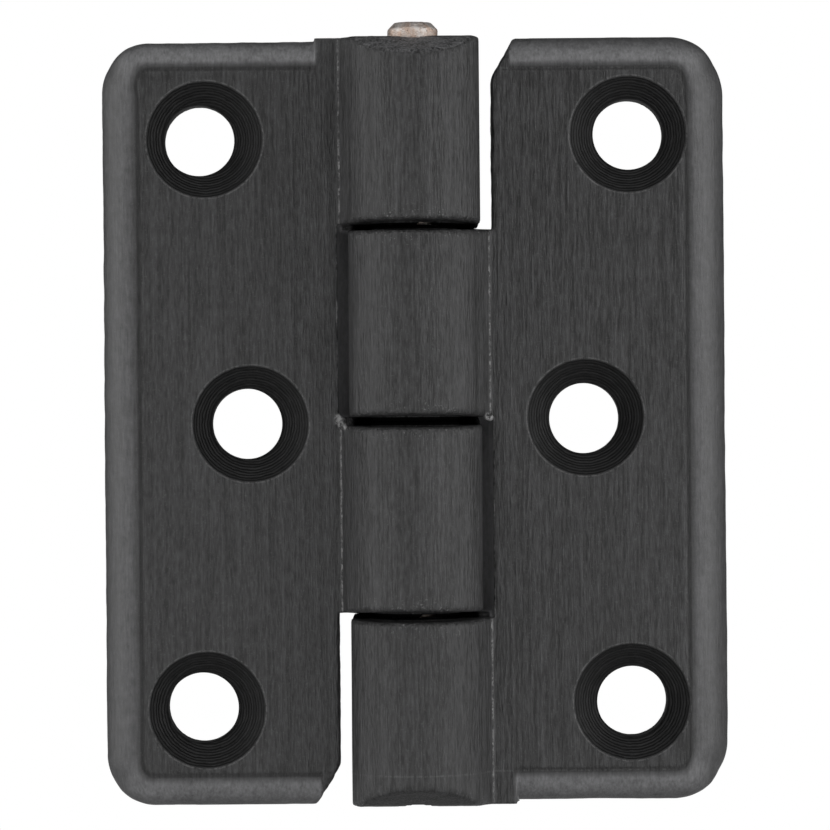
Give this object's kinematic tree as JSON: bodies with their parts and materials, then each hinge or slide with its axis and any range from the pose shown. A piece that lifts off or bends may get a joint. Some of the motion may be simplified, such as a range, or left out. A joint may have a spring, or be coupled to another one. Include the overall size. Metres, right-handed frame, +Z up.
{
  "type": "door hinge",
  "caption": "Moulded plastic butt hinge with interleaved knuckles on a steel pin and countersunk screw holes in both leaves.",
  "frame": {"origin": "on the pin's axis, half way up the leaves", "axes": "+Z up along the pin, -Y out of the countersunk front faces, +X towards the door leaf as the hinge lies open"},
  "size_m": [0.0622, 0.0131, 0.0774],
  "materials": {
    "leaf_plastic": "black moulded plastic, satin, with fine brushed marks",
    "pin_steel": "rough drawn steel with a warm grey skin"
  },
  "bodies": {
    "frame": {"frame_leaf": "leaf_plastic", "hinge_pin": "pin_steel"},
    "door": {"door_leaf": "leaf_plastic"}
  },
  "joints": [
    {"name": "swing", "type": "hinge", "parent": "frame", "child": "door", "pos_m": [0, 0, 0], "axis": [0, 0, -1], "range_deg": [-76, 180]}
  ]
}
